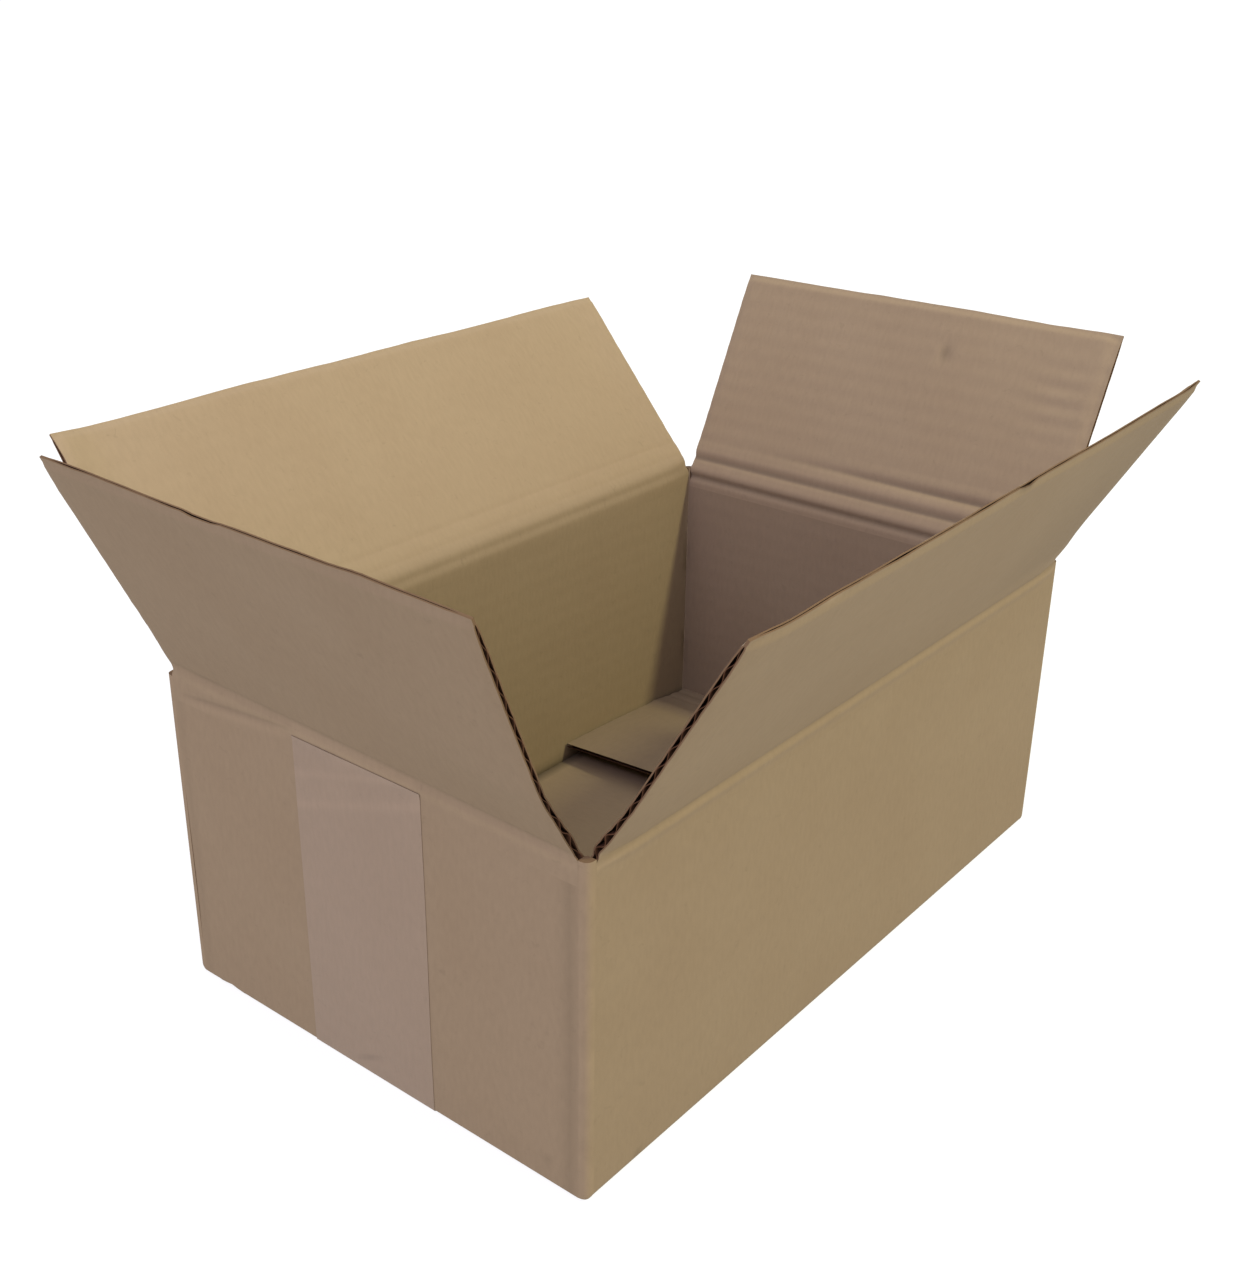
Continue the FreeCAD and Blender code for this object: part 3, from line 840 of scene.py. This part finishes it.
for side in ("near_end", "far_end"):
    panel = PANELS[side]
    columns = board_columns(panel["start"] + 0.4, panel["start"] + panel["run"] - 0.4)
    # The flaps' cut edges get the dark fluting paper as painted shade.
    board = board_layers(columns, -1.0, FLOOR_FLAP, lambda s: 0.3 * ripple(s, 0, 30, 7.0), rim=DARK_INSIDE)
    floor_flap = finish_piece(side + "_floor_flap", board,
                              lambda s, v, w: floor_place(side, s, v, w), PAPERS,
                              lambda s, v, w: PAINTED_FLOOR_SHADE)
    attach(floor_flap, "tray")

# %% Glue tab
TAB_WIDTH = 32.0
TAB_BOARD = 1.6
TAB_LOW = 2 * BOARD + 6.0
TAB_HIGH = SLOT_LEVEL - 6.0
TAB_TAPER = 8.0


def tab_place(s, v, w):
    """s runs from the far side wall, and the tab narrows towards its own edge."""
    share = s / TAB_WIDTH
    middle = (TAB_LOW + TAB_HIGH) / 2
    half = (TAB_HIGH - TAB_LOW) / 2 - TAB_TAPER * share
    height = middle + half * v
    return Vector((-END_WALL + w, HALF_WIDTH - BOARD + 0.3 - s, height))


tab_sheet = flat_grid(places(0, TAB_WIDTH, 4), places(-1, 1, 0.1))
thicken(tab_sheet, TAB_BOARD)
glue_tab = finish_piece("glue_tab", tab_sheet, tab_place, PAPERS)
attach(glue_tab, "tray")

# %% [markdown]
# ## Packing tape
#
# Clear polypropylene tape over kraft looks like slightly greyer, smoother kraft with a soft
# shine. Real transparency would need the board behind it to be read through a film a twentieth
# of a millimetre thick, so the tape is opaque, in the colour of the board seen through it. It
# is drawn 0.14 mm thick, which keeps it clear of the uneven board.

# %% Tape strip
TAPE_FILM = 0.14
HALF_LENGTH = END_WALL + BOARD
TAPE_NEAR_TOP = 96.0
TAPE_TURN = 0.9
TAPE_FAR_TOP = 55.0
FILM_SHARE = 0.8


def tape_finish():
    """Biaxial polypropylene film: smooth, with a soft shine that dents break up."""
    material = kraft("clear_tape_over_kraft", "#7c6954", "#74614c", "#84715c", 0.015, roughness=0.5)
    shader = material.node_tree.nodes["Principled BSDF"]
    shader.inputs["Coat Weight"].default_value = 0.14
    shader.inputs["Coat Roughness"].default_value = 0.3
    shader.inputs["Specular IOR Level"].default_value = 0.3
    return material


def end_face(side, y, height):
    """How far the outer face of an end wall lies inside the box's outline."""
    panel = PANELS[side]
    u = y if side == "far_end" else -y
    s = panel["start"] + panel["run"] / 2 + u
    depth = wall_bow(s, height)
    if height > WALL_CUT:
        kind, bend, twist, fold, lift = FLAPS[side]
        around = height - panel["crease"].z - fold_level(fold, panel["run"], u)
        depth -= kind["ridge"] * hump(around, -2.0, 2.2)
    return depth


def tape_place(s, v, w):
    """v runs down the near end wall, under the floor and up the far end wall.

    w is a share of the film's thickness: 0 on its face and less than 0 on its back.
    """
    outside = TAPE_FILM * (1 + w)
    turn = HALF_LENGTH - TAPE_TURN
    arc = TAPE_TURN * math.pi / 2
    near_wall = TAPE_NEAR_TOP - TAPE_TURN
    if v <= near_wall:
        height = TAPE_NEAR_TOP - v
        lift = 0.35 * ramp(height, 66, 94) * max(0.0, ripple(s, height * 3, 26, 9.0))
        inward = end_face("near_end", s, height)
        return Vector((-HALF_LENGTH + inward - outside - lift, s, height))
    v -= near_wall
    if v < arc:
        angle = v / TAPE_TURN
        radius = TAPE_TURN + outside
        return Vector((-turn - radius * math.cos(angle), s, TAPE_TURN - radius * math.sin(angle)))
    v -= arc
    if v < 2 * turn:
        return Vector((-turn + v, s, -outside))
    v -= 2 * turn
    if v < arc:
        angle = v / TAPE_TURN
        radius = TAPE_TURN + outside
        return Vector((turn + radius * math.sin(angle), s, TAPE_TURN - radius * math.cos(angle)))
    height = TAPE_TURN + v - arc
    return Vector((HALF_LENGTH - end_face("far_end", s, height) + outside, s, height))


def tape_tone(s, v, w):
    """Painted highlights on wrinkles and streaks near the tape's top, and scuffs at its foot."""
    height = TAPE_NEAR_TOP - v
    # Painted highlights where the wrinkled film catches the light.
    wrinkle = 0.17 * ramp(height, 78, 94) * max(0.0, ripple(s, (height + 0.4 * s) * 3, 20, 9.0))
    streak_highlight = 0.08 * hump(height + 0.35 * s, 84, 2.5) + 0.08 * hump(height + 0.3 * s, 92, 2.0)
    scuff = -0.22 * hump(height, 5.5 - 0.5 * (s - 1), 1.4) * hump(s, 1, 7)
    return wrinkle + streak_highlight + scuff


TAPE_RUN = TAPE_NEAR_TOP + TAPE_FAR_TOP - 2 * TAPE_TURN + TAPE_TURN * math.pi \
    + 2 * (HALF_LENGTH - TAPE_TURN)
tape_sheet = flat_grid(places(-TAPE_WIDTH / 2, TAPE_WIDTH / 2, 2), places(0, TAPE_RUN, 0.9))
thicken(tape_sheet, -FILM_SHARE)
# The tape has one material only
for face in tape_sheet.faces:
    face.material_index = 0
tape_strip = finish_piece("tape_strip", tape_sheet, tape_place, [tape_finish()], tape_tone)
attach(tape_strip, "tray")
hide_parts("bottom_tape")

# %% [markdown]
# ## Floor, light and camera
#
# The box stands on a plain floor, which gives off light of its own so that it shows white
# under an even sky that doesn't bleach the box. A small warm lamp shines from the near side and
# above. A large, cooler and weaker light comes from the near end, so the two walls that show
# have different tints.

# %% Floor and light
FLOOR_SIZE = 14.0
FLOOR_GLOW = 0.84
SKY = 1.08
floor_sheet = bmesh.new()
bmesh.ops.create_grid(floor_sheet, x_segments=1, y_segments=1, size=FLOOR_SIZE)
floor_mesh = bpy.data.meshes.new("studio_floor")
floor_sheet.to_mesh(floor_mesh)
floor_sheet.free()
studio_floor = bpy.data.objects.new("studio_floor", floor_mesh)
bpy.context.scene.collection.objects.link(studio_floor)
floor_paint = bpy.data.materials.new("matt_white_paint")
floor_paint.use_nodes = True
floor_shader = floor_paint.node_tree.nodes["Principled BSDF"]
floor_shader.inputs["Base Color"].default_value = linear("#7c7c7c")
floor_shader.inputs["Roughness"].default_value = 0.9
floor_shader.inputs["Specular IOR Level"].default_value = 0.0
floor_shader.inputs["Emission Color"].default_value = linear("#ffffff")
floor_shader.inputs["Emission Strength"].default_value = FLOOR_GLOW
floor_mesh.materials.append(floor_paint)
studio_floor.location.z = -0.2 * MM


def square_light(name, place, size, power, tint):
    """A square lamp, in metres and watts, aimed at the middle of the tray."""
    data = bpy.data.lights.new(name, "AREA")
    data.size = size
    data.energy = power
    data.color = linear(tint)[:3]
    light = bpy.data.objects.new(name, data)
    light.location = place
    light.rotation_euler = (Vector((0, 0, 0.07)) - Vector(place)).to_track_quat("-Z", "Y").to_euler()
    bpy.context.scene.collection.objects.link(light)


square_light("key_lamp", (0.43, -1.38, 1.36), 0.12, 20, "#fffccb")
square_light("end_softbox", (-1.4, -0.15, 1.05), 1.0, 15, "#cfc4ff")
world = bpy.data.worlds.new("studio")
world.use_nodes = True
world.node_tree.nodes["Background"].inputs["Color"].default_value = linear("#ffffff")
world.node_tree.nodes["Background"].inputs["Strength"].default_value = SKY
bpy.context.scene.world = world
bpy.context.scene.view_settings.view_transform = "Standard"
print("lights:", [item.name for item in bpy.data.lights])

# %% Camera
CAMERA_PLACE = Vector((-345.3, -263.7, 285.6)) * MM
CAMERA_AZIMUTH = math.radians(51.271)
CAMERA_ELEVATION = math.radians(24.472)
CAMERA_ROLL = math.radians(0.691)
PHOTO_HEIGHT = 1280.0
FOCAL_PIXELS = 1585.9
SENSOR = 36.0

look = Vector((math.cos(CAMERA_ELEVATION) * math.sin(CAMERA_AZIMUTH),
               math.cos(CAMERA_ELEVATION) * math.cos(CAMERA_AZIMUTH),
               -math.sin(CAMERA_ELEVATION)))
level_right = look.cross(UP).normalized()
level_up = level_right.cross(look)
right = level_right * math.cos(CAMERA_ROLL) + level_up * math.sin(CAMERA_ROLL)
top = level_up * math.cos(CAMERA_ROLL) - level_right * math.sin(CAMERA_ROLL)
camera_data = bpy.data.cameras.new("camera")
camera_data.sensor_width = SENSOR
camera_data.lens = FOCAL_PIXELS / PHOTO_HEIGHT * SENSOR
camera_data.clip_start = 0.01
camera_data.clip_end = 50
camera = bpy.data.objects.new("camera", camera_data)
camera.matrix_world = Matrix.Translation(CAMERA_PLACE) @ Matrix((right, top, -look)).transposed().to_4x4()
bpy.context.scene.collection.objects.link(camera)
bpy.context.scene.camera = camera
print("lens", round(camera_data.lens, 2), "mm")
